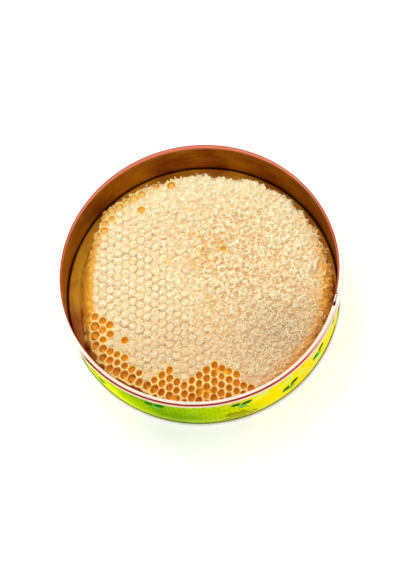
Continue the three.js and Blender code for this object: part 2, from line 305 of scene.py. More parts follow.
def edge_line(across, colour):
    """A coloured line along the bead's outer flank, with pale enamel on both sides."""
    stops = [(0.735, BEAD_CREAM), (0.765, colour), (0.925, colour), (0.955, (240, 210, 196))]
    return across.ramp(*stops, (0.985, (242, 222, 200)))


def bead_enamel():
    """White enamel on the bead's crown and red on both its flanks, with fine lines where the print ends."""
    material, tree, shader = new_material("bead_enamel", Roughness=0.5, Specular_IOR_Level=0.1)
    drift = grain(tree, 11).within(0.3, 0.7, -1.5, 1.5)
    turn = reading(tree, "bead_turn") + drift
    across = turn.within(-90.0, 90.0)
    # In front, the underside of the bead is a painted shadow in dark olive, going over into the cream enamel.
    outer = across.ramp(
        (0.36, (96, 74, 20)), (0.44, (190, 160, 110)), (0.50, (240, 220, 190)), (0.62, (246, 226, 200)),
        (0.70, BEAD_LINE), (0.735, BEAD_CREAM),
    )
    dark = reading(tree, "bead_dark")
    far = reading(tree, "bead_far")
    lines = dark.within(0.55, 1.0).tint(edge_line(across, (206, 36, 44)), edge_line(across, BEAD_DARK_RED))
    lines = dark.within(0.0, 0.5).tint(edge_line(across, (230, 196, 200)), lines)
    outer = turn.within(42.0, 43.5).tint(outer, lines)
    inside = reading(tree, "bead_inside") + drift
    skin = layered(
        reading(tree, "bead_near").tint(BEAD_WHITE, outer),
        (inside.within(-3.0, 2.0), far.tint(BEAD_RED, BEAD_DEEP_RED)),
        # Salmon at the inner edge of the red is a painted reflection of the gold lacquer, wider behind.
        ((inside + far * 14.0).within(24.0, 34.0), BEAD_SALMON_REFLECTION),
        (grain(tree, 2.2, 5).within(0.68, 0.76) * 0.4, BEAD_RUBBED),
        # Black in the notch is painted shade; the dashes that lead up to it are weld marks.
        (reading(tree, "bead_cut"), NOTCH_SHADE_AND_WELD_MARKS),
    )
    finish(shader, skin, grain(tree, 3), 0.08, 0.1)
    return material


def direction(degrees):
    return math.cos(math.radians(degrees)), math.sin(math.radians(degrees))


def sprig_part(along, up, length, width, lean_more):
    """The same leaf or stem of every sprig: its place along and above the stem, its sizes and its lean."""
    shapes = []
    for degrees, middle, lean in SPRIGS:
        cos, sin = direction(lean)
        place = degrees + along * cos * (360 / WALL_ROUND)
        shapes.append((place, middle + along * sin + up, length, width, lean + lean_more))
    return shapes


ochre_bars = [(-89 + 2.4 * k + 1.2 * (row % 2), 7.0 + 3.2 * row, 4.4, 2.4, 0)
              for row in range(4) for k in range(6 - row)]
dark_bars = [(-94.5 + 3.0 * k, 4.6 + 0.4 * (k % 3), 5.4, 1.3, 4) for k in range(6)]
PRINT_SHAPES = [
    (OCHRE, ochre_bars),
    (OCHRE_DARK, dark_bars),
    (LEAF_LIGHT, sprig_part(1.2, -3.4, 9.0, 5.6, -30)),
    (LEAF_DARK, sprig_part(0.0, 0.0, 13.0, 0.7, 0)),
    (LEAF_GREEN, sprig_part(4.2, 2.6, 9.5, 6.4, 28) + sprig_part(-3.8, 2.6, 8.5, 5.8, 30)),
]


def leaf_mask(turn, height, degrees, middle, length, width, lean):
    """A pointed oval of the print: where it stands in degrees, its height and sizes, and its lean."""
    along = (turn - (degrees % 360) / 360) * WALL_ROUND
    up = height * BEAD_HEIGHT - middle
    cos, sin = direction(lean)
    u = abs((along * cos + up * sin) / (length / 2))
    v = abs((up * cos - along * sin) / (width / 2))
    return (u * u + v).within(0.9, 1.06, 1.0, 0.0)


def wall_print():
    """The printed wall: fields of lime and yellow, faint cells, mint clouds, leaf sprigs and ochre cells."""
    material, tree, shader = new_material("wall_print", Roughness=0.6, Specular_IOR_Level=0.0)
    place = wired(tree, "ShaderNodeUVMap", uv_map="wall")
    turn, height, _ = axes(place)
    drift = grain(tree, 20).within(0.3, 0.7, -0.016, 0.016)
    ground = (height * 0.045 + turn + drift).ramp(
        (0.00, PRINT_YELLOW), (0.10, LIME_LIGHT), (0.20, (140, 178, 14)), (0.30, LIME_LIGHT),
        (0.38, (226, 206, 20)), (0.50, (240, 226, 30)), (0.585, (232, 250, 60)), (0.645, (238, 252, 6)),
        (0.665, LIME), (0.70, LIME_DEEP), (0.765, LIME), (0.795, (220, 222, 0)),
        (0.815, PRINT_YELLOW), (0.90, (255, 222, 20)), (0.955, (255, 236, 60)), (1.00, PRINT_YELLOW),
    )
    cells = {"Vector": wired(tree, "ShaderNodeMapping", {0: place, 3: (92, 9.0, 1)})}
    cells.update({"Scale": 1.0, "Mortar Size": 0.16, "Mortar Smooth": 1.0, "Brick Width": 1.0})
    cells.update({"Row Height": 1.0, "Mortar": (0, 0, 0, 1)})
    cells.update({"Color1": (1, 1, 1, 1), "Color2": (0.5, 0.5, 0.5, 1)})
    veil = wired(tree, "ShaderNodeTexBrick", cells).within(0.0, 1.0, 0.42, 0.0)
    in_lime = turn.within(0.62, 0.66) * turn.within(0.765, 0.785, 1.0, 0.0)
    clouds = grain(tree, 15, 3, (1, 1, 1.8)).within(0.55, 0.62) * turn.within(0.77, 0.80)
    ground = layered(ground, (in_lime * veil, LIME_CELL), (clouds * 0.85, PRINT_MINT))
    for colour, shapes in PRINT_SHAPES:
        mask = leaf_mask(turn, height, *shapes[0])
        for shape in shapes[1:]:
            mask = mask.most(leaf_mask(turn, height, *shape))
        ground = mask.tint(ground, colour)
    ground = height.within(0.08, 0.3, 0.4, 0.0).tint(ground, LIME_FOOT)
    finish(shader, ground, grain(tree, 5), 0.05, 0.1)
    return material


def turned(name, outline, turns, materials, bands, shift=None, numbers=None):
    """Turns a closed (radius, height) outline about Z at these angles in degrees. The band of each outline
    point gives the material of the strip that starts there, and shift moves a point at an angle."""
    outline = np.asarray(outline, float)
    count = len(outline)
    points = []
    for turn in turns:
        section = outline if shift is None else shift(outline, turn)
        cos, sin = direction(turn)
        points.append(np.c_[section[:, 0] * cos, section[:, 0] * sin, section[:, 1]])
    faces = []
    for step in range(len(turns)):
        here, after = step * count, (step + 1) % len(turns) * count
        for k in range(count):
            up = (k + 1) % count
            faces.append((here + k, after + k, after + up, here + up))
    carried = {key: np.concatenate([value(turn) for turn in turns]) for key, value in (numbers or {}).items()}
    return new_piece(name, np.concatenate(points), faces, materials, list(bands) * len(turns), carried)


def arc(centre, radius, start, end, steps, flat=1.0):
    """Points on a circle's arc, from and to these degrees; flat squeezes its height."""
    angles = np.radians(np.linspace(start, end, steps + 1))
    return [(centre[0] + radius * math.cos(a), centre[1] + flat * radius * math.sin(a)) for a in angles]


def beside(turn, angle):
    """How many degrees apart two directions are."""
    return abs((turn - angle + 180) % 360 - 180)


def bell(turn, angle, spread):
    """1 in one direction, and less to both sides of it."""
    return np.exp(-((beside(turn, angle) / spread) ** 2))


bead_start = -math.degrees(math.acos((WALL_OUTER - BEAD_CENTRE) / BEAD_RADIUS))
bead_end = 360 - math.degrees(math.acos((WALL_INNER - BEAD_CENTRE) / BEAD_RADIUS))
bead_crown = (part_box("tin_body")[1].z / MM - BEAD_HEIGHT) / BEAD_RADIUS
wall_rise = np.linspace(WALL_PRINT_FOOT, BEAD_HEIGHT - BEAD_RADIUS - 0.4, WALL_POINTS)
body_outline = [(WALL_INNER, WALL_FOOT), (WALL_OUTER, WALL_FOOT)]
body_outline += [(WALL_OUTER, z) for z in wall_rise]
body_outline += arc((BEAD_CENTRE, BEAD_HEIGHT), BEAD_RADIUS, bead_start, bead_end, BEAD_STEPS, bead_crown)
body_outline += [(WALL_INNER, z) for z in np.linspace(*INSIDE_SPAN, INSIDE_POINTS)]
bead_first = 2 + WALL_POINTS
body_bands = [0] + [1] * (WALL_POINTS + 1) + [2] * (BEAD_STEPS + 1) + [0] * INSIDE_POINTS
on_wall = np.zeros(len(body_outline))
on_wall[2:bead_first] = 1
on_bead = np.zeros(len(body_outline))
on_bead[bead_first:-INSIDE_POINTS] = 1
bead_turns = np.zeros(len(body_outline))
bead_turns[bead_first:-INSIDE_POINTS] = np.linspace(bead_start, bead_end, BEAD_STEPS + 1)
bead_turns[-INSIDE_POINTS:] = bead_end


def body_shift(outline, turn):
    """The wall stands proud at the lap, the bead is cut through beside it, and the rim is a little oval."""
    moved = outline.copy()
    lap = max(0.0, min(1.0, (LAP_HALF_WIDTH - beside(turn, LAP_ANGLE)) / 0.25 + 0.5))
    moved[:, 0] += on_wall * LAP_PROUD * lap
    if beside(turn, NOTCH_ANGLE) < NOTCH_HALF_WIDTH:
        heart = np.array([WALL_OUTER, BEAD_HEIGHT - 0.6])
        cut = np.clip(1.3 - np.abs(bead_turns - NOTCH_TURN) / 40, 0, 1) * on_bead
        moved += cut[:, None] * (heart - moved) * NOTCH_DEPTH
    moved[:, 0] += RIM_OVAL * math.cos(2 * math.radians(turn - OVAL_ANGLE)) * moved[:, 1] / TIN_HEIGHT
    return moved


def sine(turn):
    """-1 at the front of the tin, 1 at its back."""
    return math.sin(math.radians(turn))


def bead_lining(turn):
    """How far the red comes up from inside: well up behind, a little more on the right, not at all in front,
    and it stops short where the bead was left bare for the weld."""
    bare = -float(beside(turn, BARE_ANGLE) < BARE_HALF_WIDTH)
    return bead_turns - LINING_TURN + (25 * sine(turn) + 16 * bell(turn, -8, 20)) + 60 * bare


def bead_marks(turn):
    """Painted shade, black, in the notch, and a broken dark line of weld marks that leads up to it."""
    notch = float(beside(turn, NOTCH_ANGLE) < NOTCH_HALF_WIDTH) * (np.abs(bead_turns - NOTCH_TURN) < 50)
    past = turn - NOTCH_ANGLE
    dashed = 0.9 * float(0.8 < past < WELD_REACH and math.sin(past * 7.5) > -0.45)
    return on_bead * np.maximum(notch, dashed * (np.abs(bead_turns - WELD_TURN) < 15))


fine_turns = [LAP_ANGLE + side * (LAP_HALF_WIDTH + edge) for side in (-1, 1) for edge in (-0.13, 0.0, 0.13)]
fine_turns += [NOTCH_ANGLE + side * edge for side in (-1, 1) for edge in (0.3, 0.6, 0.94, 1.02)]
fine_turns += [NOTCH_ANGLE + 1.3 + 0.28 * step for step in range(16)]
even_turns = np.linspace(-180, 180, TURN_STEPS, endpoint=False)
body_turns = sorted([t for t in even_turns if min(beside(t, s) for s in fine_turns) > 0.2] + fine_turns)
tin_body = turned(
    "tin_body_printed",
    body_outline,
    body_turns,
    [lacquer("wall_lacquer", False), wall_print(), bead_enamel()],
    body_bands,
    body_shift,
    {
        "bead_turn": lambda turn: bead_turns,
        "bead_inside": bead_lining,
        "bead_near": lambda turn: on_bead * float(np.clip(-0.42 - sine(turn), 0, 0.1) * 10),
        "bead_far": lambda turn: on_bead * float(np.clip(sine(turn) - 0.1, 0, 0.5) * 2),
        "bead_dark": lambda turn: on_bead * float(np.clip((-36 - turn) / 34, 0, 1)),
        "bead_cut": bead_marks,
    },
)
wall_map = tin_body.data.uv_layers.new(name="wall")
loop_points = np.zeros(len(tin_body.data.loops), np.int32)
tin_body.data.loops.foreach_get("vertex_index", loop_points)
loop_turn = np.array(body_turns)[loop_points // len(body_outline)]
loop_height = np.array(body_outline)[loop_points % len(body_outline), 1]
wall_map.data.foreach_set("uv", np.c_[(loop_turn % 360) / 360, loop_height / BEAD_HEIGHT].ravel())
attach(tin_body, "root")
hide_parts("tin_body")

# ---- Tin bottom ----
# The pressed bottom end: a floor set above the bench, an expansion ring near its edge, and a rim folded
# round the body's foot in a double seam. It is lacquered gold inside and left as bare tinplate below.
FLOOR_TOP = 8.0
FLOOR_SHEET = 0.4
FLOOR_ROUND = 1.4
SEAM_INNER = 97.3
SEAM_HEIGHT = 3.2
SEAM_CORNER = 0.4
CHANNEL_FLOOR = 0.8
CHANNEL_OUTER = 99.0
RING_RADIUS = 89.5
RING_HALF_WIDTH = 1.5
RING_DEPTH = 0.3
PIN_HOLE = 0.01  # the floor's centre, where the turned outline closes


def bare_tinplate():
    material, tree, shader = new_material("bare_tinplate", Metallic=0.5)
    clouds = grain(tree, 12, 4)
    steel = clouds.tint((214, 212, 200), (240, 238, 230))
    finish(shader, steel, grain(tree, 0.8), 0.15, 0.05, clouds.within(0.3, 0.7, 0.3, 0.5))
    return material


countersink = SEAM_INNER + FLOOR_SHEET
turn_radius = countersink - FLOOR_ROUND
turn_height = FLOOR_TOP - FLOOR_ROUND
floor_under = FLOOR_TOP - FLOOR_SHEET
bottom_outline = [(PIN_HOLE, floor_under), (turn_radius, floor_under), (SEAM_INNER, turn_height)]
seam_outer = TIN_RADIUS - SEAM_CORNER
for radius, height, start in (
    (SEAM_INNER + SEAM_CORNER, SEAM_CORNER, 180),
    (seam_outer, SEAM_CORNER, 270),
    (seam_outer, SEAM_HEIGHT - SEAM_CORNER, 0),
):
    bottom_outline += arc((radius, height), SEAM_CORNER, start, start + 90, 3)
outside_points = len(bottom_outline)
bottom_outline += [(CHANNEL_OUTER, SEAM_HEIGHT), (CHANNEL_OUTER, CHANNEL_FLOOR), (countersink, CHANNEL_FLOOR)]
bottom_outline += arc((turn_radius, turn_height), FLOOR_ROUND, 0, 90, 8)
for share in np.linspace(1, -1, 9):
    sunk = RING_DEPTH * (0.5 + 0.5 * math.cos(math.pi * share))
    bottom_outline.append((RING_RADIUS + RING_HALF_WIDTH * share, FLOOR_TOP - sunk))
bottom_outline += [(radius, FLOOR_TOP) for radius in (80, 40, PIN_HOLE)]
tin_bottom = turned(
    "tin_bottom_pressed",
    bottom_outline,
    even_turns,
    [bare_tinplate(), lacquer("floor_lacquer", True)],
    [0] * outside_points + [1] * (len(bottom_outline) - outside_points),
)
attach(tin_bottom, "root")
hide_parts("tin_bottom")

# ---- Comb ----
# Wax built by bees as two layers of six-sided cells on a midrib, cut as a round and laid flat in the tin.
# Neat caps close most cells, torn and scraped wax covers the right half, and some cells at the rim are open.
CELL_PITCH = 6.2
ROW_ANGLE = 21.0
FIRST_CELL = (-59.0, -37.6)
ROWS_EACH_WAY = 43
ROW_BEND = {"pivot": -61.6, "from": 60.0, "over": 140.0, "squeeze": 0.031, "lift": 0.088}
ROW_SAG = {"place": (-79.0, -38.0), "reach": 16.0, "by": (0.35, -2.3)}
SHAKE = 0.25
COMB_CENTRE = (4.0, -8.6)
COMB_RADIUS = 88.2
COMB_TOP = 34.2
COMB_BASE = 8.3
COMB_CROWN = 1.6
MIDRIB_HEIGHT = 12.5
WALL_CLEAR = 96.4
TEAR_CLEAR = 97.0
BULGES = [(130, 19, 8.0), (-151, 19, 6), (49, 13, 1.4), (71, 9, -2.2)]  # direction, spread, out
PRESSED_EDGES = [(178, 42, 8, 8, 5.0), (-18, 38, 5, 8, 2.4)]  # direction, spread, drop, width, side's spread
EDGE_CELLS = 2.0
ROUGH_PLACE = (42.0, 7.4)
ROUGH_REACH = 62.0
TORN_PATCHES = [(46, -48, 30, 0.95), (6, 58, 34, 0.7), (18, -48, 22, 0.5)]  # place, reach, strength
OPEN_PATCHES = [  # from, to, reach
    ((-78, -19), (-68, -24), 3.6),
    ((-77, -26), (-70, -31), 4.6),
    ((-79, -36), (-77, -62), 6.4),
    ((-74, -48), (-58, -66.5), 8.9),
    ((-60, -68), (-34, -84), 5.6),
    ((-44, -71), (-31, -66), 4.0),
    ((-45, -77), (-22, -88), 9.4),
    ((-33, -72), (-27, -75), 3.0),
    ((-20, -77), (-13, -74.5), 3.2),
    ((-18, -84), (8, -84), 7.6),
    ((-9, -74), (1, -70.5), 4.4),
    ((3, -80), (15, -87), 6.2),
    ((4, -73), (12.5, -76), 3.4),
    ((37, -84), (43, -81), 2.6),
    ((-66, 46), (-50, 63), 3.4),
    ((-44, 69), (-29, 72), 3.2),
    ((-20, 76), (-6, 77), 3.2),
]
OPEN_ALONE = [(-59, -38, 0.0), (20, 16, 0.8), (-33.5, 58.7, 0.45)]  # place, paleness of its honey
OPEN_ALONE_REACH = 3.0
OPEN_EDGE = (-108, 44, 6.0)  # direction, half spread, width
BROKEN_WALLS = [(6.3, -73.0), (0.6, -71.4), (-12.5, -83.5), (-8.0, -84.5), (-73.6, -26.5), (-31.5, -85.5)]
BROKEN_REACH = 2.2
SLIT_CAP = (-44.5, -64.0)
EDGE_EVEN = 0.62
EDGE_INSET = 0.9
EDGE_TORN = 2.3
FINE_TEAR = 2.8
RAGGED_EDGE = (52, 102)  # direction, half spread
AMBER_SPOTS = [  # place, reach, strength
    (4, 20, 7, 0.5), (8, 14, 6, 0.5), (11, 8, 6, 0.55), (-1, 10, 6, 0.4), (17, 17, 5, 0.5), (46, 56, 9, 0.35),
    (14, 24, 6, 0.35), (6, 30, 5, 0.35), (-22, 14, 5, 0.25), (30, 28, 5, 0.25),
]
AMBER_EDGES = [  # direction, spread, strength, how full it starts, how slowly it fades inwards
    (180, 52, 1.0, 1.8, 5.5), (-140, 36, 0.9, 1.3, 4), (-16, 40, 0.95, 1.3, 13), (130, 26, 0.75, 1.2, 9),
    (-50, 24, 0.45, 1.2, 16),
]
RIND_EDGES = [(178, 58, 1.0, 2.7, 3.4), (-14, 32, 0.95, 1.5, 6.5), (-48, 24, 0.85, 1.35, 8.5),
              (132, 24, 0.8, 1.5, 4.5)]
BROWN_EDGE = [(-40, 26, 1.0, 1.4, 6)]
# Painted light: the wax is lightened along the back edges and over the left, where the light falls on it.
PAINTED_LIGHT_EDGES = [(84, 48, 0.8, 26), (170, 50, 0.3, math.inf), (28, 32, 0.5, 38)]  # how deep it goes comes last
GREY_PLACE = (48, -53)
GREY_REACH = (30, 24)
FLATTER_CAPS = (-12, 34, 0.55)  # in front of this line, over this depth, by this share
CAP_LEAN = 0.3
EDGE_PARTS = 4  # points along each side of a cell
CAPPED_RINGS = [(0.94, 0.14), (0.84, 0.52), (0.62, 0.95), (0.31, 1.0)]  # share, roundness
OPEN_RINGS = [(0.93, 0.15), (0.84, 0.6), (0.72, 1.0), (0.65, 1.0), (0.59, 1.0)]
MOUTH_SLOPE = 0.28
CORNERS = [("up", 0, 0), ("down", -1, 0), ("up", -1, 0), ("down", -1, -1), ("up", 0, -1), ("down", 0, -1)]
CELLS_AT_CORNER = {"up": [(0, 0), (1, 0), (0, 1)], "down": [(1, 1), (1, 0), (0, 1)]}
NEIGHBOURS = [(0, 1), (-1, 1), (-1, 0), (0, -1), (1, -1), (1, 0)]  # across each side, from the first corner
SIDE_ROWS = [  # share of the way to the midrib, or beyond it to the foot; recess
    (0.04, 0.0), (0.12, 0.05), (0.3, 0.2), (0.5, 0.35), (0.72, 0.5), (0.92, 0.6), (1.0, 1.1),
    (1.08, 0.6), (1.25, 0.45), (1.5, 0.3), (1.8, 0.1), (2.0, 0.0),
]
WAX = {
    "cap, low": (252, 222, 164), "cap, high": (255, 249, 212), "cap, shaded in front": (230, 198, 150),
    "groove": (214, 164, 102), "crease": (160, 108, 54), "vein": (224, 178, 118), "fleck": (255, 249, 222),
    "amber": (242, 178, 66), "scraped": (198, 172, 136), "scraped pit": (172, 140, 100),
    "painted_edge_light": (252, 244, 202), "wisp": (255, 244, 196), "soaked, dark": (238, 154, 36),
    "soaked, light": (255, 204, 68), "shaded rim": (196, 132, 58), "torn crest": (255, 244, 200),
    "mouth's crest": (255, 230, 160), "flank": (255, 188, 60), "flank's rib": (255, 236, 150),
    "sunk": (246, 180, 46),
}


def chance(i, j, salt):
    """A repeatable random number from 0 to 1 for a place in the comb's rows."""
    wave = np.sin(i * 127.1 + j * 311.7 + salt * 74.7) * 43758.5453
    return wave - np.floor(wave)


def comb_place(x, y):
    """Direction from the comb's centre, distance from it, reach of the outline there."""
    dx, dy = x - COMB_CENTRE[0], y - COMB_CENTRE[1]
    angle = np.degrees(np.arctan2(dy, dx))
    reach = COMB_RADIUS + sum(out * bell(angle, middle, spread) for middle, spread, out in BULGES)
    along = COMB_CENTRE[0] * np.cos(np.radians(angle)) + COMB_CENTRE[1] * np.sin(np.radians(angle))
    to_tin = -along + np.sqrt(along**2 - np.hypot(*COMB_CENTRE) ** 2 + WALL_CLEAR**2)
    return angle, np.hypot(dx, dy), np.minimum(reach, to_tin)


def face_height(x, y):
    """Height of the comb's face before the relief of its cells."""
    angle, out, reach = comb_place(x, y)
    height = COMB_TOP - COMB_CROWN * (out / COMB_RADIUS) ** 2
    for middle, spread, drop, width, _ in PRESSED_EDGES:
        fall = np.clip(1 - (reach - out) / width, 0, 1.2)
        height = height - drop * bell(angle, middle, spread) * fall**2
    return height


def roughness_at(x, y):
    away = np.hypot(x - ROUGH_PLACE[0], y - ROUGH_PLACE[1]) / ROUGH_REACH
    share = np.clip((1.25 - away) / 0.7, 0, 1)
    return share * share * (3 - 2 * share)


def torn_share(x, y):
    """How torn the wax is: the scraped half, and patches where the scraper ran on."""
    share = roughness_at(x, y)
    for patch_x, patch_y, patch_reach, strength in TORN_PATCHES:
        patch = 1.4 * np.exp(-((np.hypot(x - patch_x, y - patch_y) / patch_reach) ** 2))
        share = np.maximum(share, strength * np.minimum(patch, 1.0))
    return share


def from_line(x, y, start, end):
    """Distance from a point to the line between two points."""
    ax, ay = start
    bx, by = end[0] - ax, end[1] - ay
    along = np.clip(((x - ax) * bx + (y - ay) * by) / max(bx * bx + by * by, 1e-9), 0, 1)
    return np.hypot(x - ax - along * bx, y - ay - along * by)


def is_open(x, y):
    angle, out, reach = comb_place(x, y)
    if reach - out < OPEN_EDGE[2] and beside(angle, OPEN_EDGE[0]) < OPEN_EDGE[1]:
        return True
    if any(math.hypot(x - ax, y - ay) < OPEN_ALONE_REACH for ax, ay, _ in OPEN_ALONE):
        return True
    return any(from_line(x, y, start, end) < wide for start, end, wide in OPEN_PATCHES)


def cell_centre(i, j):
    """Where a cell of the slanting rows lies: they bend, sag on the left, and shake a little."""
    (a_cos, a_sin), (b_cos, b_sin) = direction(ROW_ANGLE), direction(ROW_ANGLE + 60)
    x = FIRST_CELL[0] + CELL_PITCH * (i * a_cos + j * b_cos)
    y = FIRST_CELL[1] + CELL_PITCH * (i * a_sin + j * b_sin)
    bend = (x - ROW_BEND["pivot"]) * max(0.0, (ROW_BEND["from"] - y) / ROW_BEND["over"]) ** 2
    sag_x, sag_y = ROW_SAG["place"]
    sag = math.exp(-((math.hypot(x - sag_x, y - sag_y) / ROW_SAG["reach"]) ** 2))
    shake = SHAKE * (1 + 2 * roughness_at(x, y))
    return np.array([
        x - ROW_BEND["squeeze"] * bend + ROW_SAG["by"][0] * sag + shake * (2 * chance(i, j, 1) - 1),
        y + ROW_BEND["lift"] * bend + ROW_SAG["by"][1] * sag + shake * (2 * chance(i, j, 2) - 1),
    ])


comb_cells = {}
for i in range(-ROWS_EACH_WAY, ROWS_EACH_WAY + 1):
    for j in range(-ROWS_EACH_WAY, ROWS_EACH_WAY + 1):
        centre = cell_centre(i, j)
        _, out, reach = comb_place(*centre)
        if reach - out > EDGE_CELLS:
            comb_cells[i, j] = {"centre": centre, "open": is_open(*centre), "luck": chance(i, j, 7)}

plan = []  # x, y, share, open, luck, lean, spike
corner_ids = {}
edge_ids = {}
free_edges = {}


def plan_point(x, y, share, opened, luck, lean=0.0, spike=0.0):
    plan.append([x, y, share, opened, luck, lean, spike])
    return len(plan) - 1


def pushed(x, y, further):
    """A point of the cut edge moved outwards, and kept off the tin."""
    out = math.hypot(x - COMB_CENTRE[0], y - COMB_CENTRE[1])
    x += further / out * (x - COMB_CENTRE[0])
    y += further / out * (y - COMB_CENTRE[1])
    fit = min(1.0, TEAR_CLEAR / math.hypot(x, y))
    return x * fit, y * fit


def ragged_at(x, y):
    """How ragged the cut edge is: torn behind and on the right, pressed smooth on the left and in front."""
    return 0.12 + 0.88 * float(beside(comb_place(x, y)[0], RAGGED_EDGE[0]) < RAGGED_EDGE[1])


def corner_id(kind, i, j):
    """The point where three cells meet, or where the cut edge passes between them."""
    if (kind, i, j) not in corner_ids:
        around = [(i + di, j + dj) for di, dj in CELLS_AT_CORNER[kind]]
        x, y = np.mean([cell_centre(*cell) for cell in around], axis=0)
        present = [comb_cells[cell] for cell in around if cell in comb_cells]
        opened = float(any(cell["open"] for cell in present))
        spike = 0.0
        if len(present) < 3:
            salt = 3 if kind == "up" else 4
            _, out, reach = comb_place(x, y)
            tear = EDGE_TORN * (chance(i, j, salt + 6) - 0.5)
            x, y = pushed(x, y, EDGE_EVEN * (reach - out - EDGE_INSET) + tear)
            spike = 1.1 * (chance(i, j, salt + 2) - 0.5) * ragged_at(x, y)
        corner_ids[kind, i, j] = plan_point(x, y, 1.0, opened, 0.5, 0.0, spike)
    return corner_ids[kind, i, j]


def edge_points(a, b, on_rim):
    """The points between two corners, made once and shared by the two cells; torn finely along the rim."""
    if (b, a) in edge_ids:
        return edge_ids[b, a][::-1]
    first, last = plan[a], plan[b]
    made = []
    for part in range(1, EDGE_PARTS):
        x, y, sag = (first[k] + part / EDGE_PARTS * (last[k] - first[k]) for k in (0, 1, 6))
        if on_rim:
            ragged = ragged_at(x, y)
            x, y = pushed(x, y, ragged * FINE_TEAR * (chance(a, part, 9) - 0.62))
            sag += ragged * 0.9 * (chance(a, part, 12) - 0.6)
        made.append(plan_point(x, y, 1.0, min(first[3], last[3]), 0.5, 0.0, sag * 0.8))
    edge_ids[a, b] = made
    return made


def mouth_width(cell):
    """How wide an open cell's mouth is, against the plain one."""
    return 0.84 + 0.18 * cell["luck"] + 0.08 * math.exp(-(((cell["centre"][0] + 8) / 22) ** 2))


def mouth_length(cell, i, j):
    """How much longer than wide an open cell's mouth is, outwards along the comb's radius."""
    return 0.15 * bell(comb_place(*cell["centre"])[0], OPEN_EDGE[0], 40) * (0.3 + chance(i, j, 13))


comb_faces = []
ring_size = 6 * EDGE_PARTS
for (i, j), cell in comb_cells.items():
    corners = [corner_id(kind, i + di, j + dj) for kind, di, dj in CORNERS]
    ring = []
    for a, b, (di, dj) in zip(corners, corners[1:] + corners[:1], NEIGHBOURS):
        ring += [a] + edge_points(a, b, (i + di, j + dj) not in comb_cells)
        if free_edges.get(b) == a:
            del free_edges[b]
        else:
            free_edges[a] = b
    cx, cy = cell["centre"]
    opened = float(cell["open"])
    spokes = np.array([[plan[k][0] - cx, plan[k][1] - cy] for k in ring])
    lengths = np.hypot(*spokes.T)
    to_round = lengths.mean() / lengths - 1
    neat = 1.0 if opened else 1 - 0.5 * roughness_at(cx, cy)
    lean_turn = 2 * math.pi * chance(i, j, 8)
    lean_x, lean_y = (CAP_LEAN * chance(i, j, 11) * f(lean_turn) for f in (math.cos, math.sin))
    outward = math.atan2(cy - COMB_CENTRE[1], cx - COMB_CENTRE[0])
    oval = mouth_length(cell, i, j) * np.cos(2 * (np.arctan2(spokes[:, 1], spokes[:, 0]) - outward))
    for k in ring:
        plan[k][3] = max(plan[k][3], opened)
    outer = ring
    for share, roundness in OPEN_RINGS if opened else CAPPED_RINGS:
        fit = 1 + roundness * neat * to_round
        if opened:
            fit *= 1 + (mouth_width(cell) - 1 + oval) * min(1.0, (1 - share) / MOUTH_SLOPE)
        inner = []
        for (sx, sy), f in zip(spokes, share * fit):
            lean = f * (lean_x * sx + lean_y * sy)
            inner.append(plan_point(cx + f * sx, cy + f * sy, share, opened, cell["luck"], lean))
        for k in range(ring_size):
            after = (k + 1) % ring_size
            comb_faces.append((outer[k], outer[after], inner[after], inner[k]))
        outer = inner
    middle = plan_point(cx, cy, 0.0, opened, cell["luck"])
    comb_faces += [(outer[k], outer[(k + 1) % ring_size], middle) for k in range(ring_size)]

rim_corners = [next(iter(free_edges))]
while free_edges[rim_corners[-1]] != rim_corners[0]:
    rim_corners.append(free_edges[rim_corners[-1]])
rim = []
for a, b in zip(rim_corners, rim_corners[1:] + rim_corners[:1]):
    rim += [a] + (edge_ids[a, b] if (a, b) in edge_ids else edge_ids[b, a][::-1])
plan = np.array(plan)
face_xyz = np.c_[plan[:, 0], plan[:, 1], face_height(plan[:, 0], plan[:, 1]) + plan[:, 6]]

# The sides: rows of half cells standing on the midrib, upper and lower ones half a cell apart.
rim_xyz = face_xyz[rim]
count = len(rim)
rim_angle, rim_out, _ = comb_place(rim_xyz[:, 0], rim_xyz[:, 1])
rim_spread = sum(side * bell(rim_angle, middle, spread) for middle, spread, _, _, side in PRESSED_EDGES)
smooth_out = np.convolve(np.r_[rim_out[-12:], rim_out, rim_out[:12]], np.ones(25) / 25, "valid")
flute = rim_out - smooth_out
wobble = 0.35 * np.sin(np.arange(count) * 0.9) + 0.3 * np.sin(np.arange(count) * 0.37 + 1)
midrib_level = COMB_BASE + MIDRIB_HEIGHT
side_points = []
side_fin = []
for down, recess in SIDE_ROWS:
    above, below = min(down, 1), max(0.0, down - 1)
    shape = flute if down < 1 else np.roll(flute, EDGE_PARTS * 2)
    out = smooth_out + shape * (1.0 - 0.45 * min(down, 2 - down)) - recess
    out = out + rim_spread * (0.7 * above + 0.3 * below) + wobble * min(1, 2 * down) * 0.6
    level = rim_xyz[:, 2] + above * (midrib_level - rim_xyz[:, 2]) + below * (COMB_BASE - midrib_level)
    x = COMB_CENTRE[0] + out * np.cos(np.radians(rim_angle))
    y = COMB_CENTRE[1] + out * np.sin(np.radians(rim_angle))
    fit = np.minimum(1, WALL_CLEAR / np.hypot(x, y))
    side_points.append(np.c_[x * fit, y * fit, level])
    side_fin.append(np.clip(shape / 1.6, 0, 1))
comb_xyz = np.concatenate([face_xyz, *side_points, [[*COMB_CENTRE, COMB_BASE]]])
rows = [rim] + [list(range(start, start + count)) for start in range(len(plan), len(comb_xyz) - 1, count)]
for upper, lower in zip(rows, rows[1:]):
    for k in range(count):
        after = (k + 1) % count
        comb_faces.append((upper[after], upper[k], lower[k], lower[after]))
under = len(comb_xyz) - 1
comb_faces += [(rows[-1][(k + 1) % count], rows[-1][k], under) for k in range(count)]

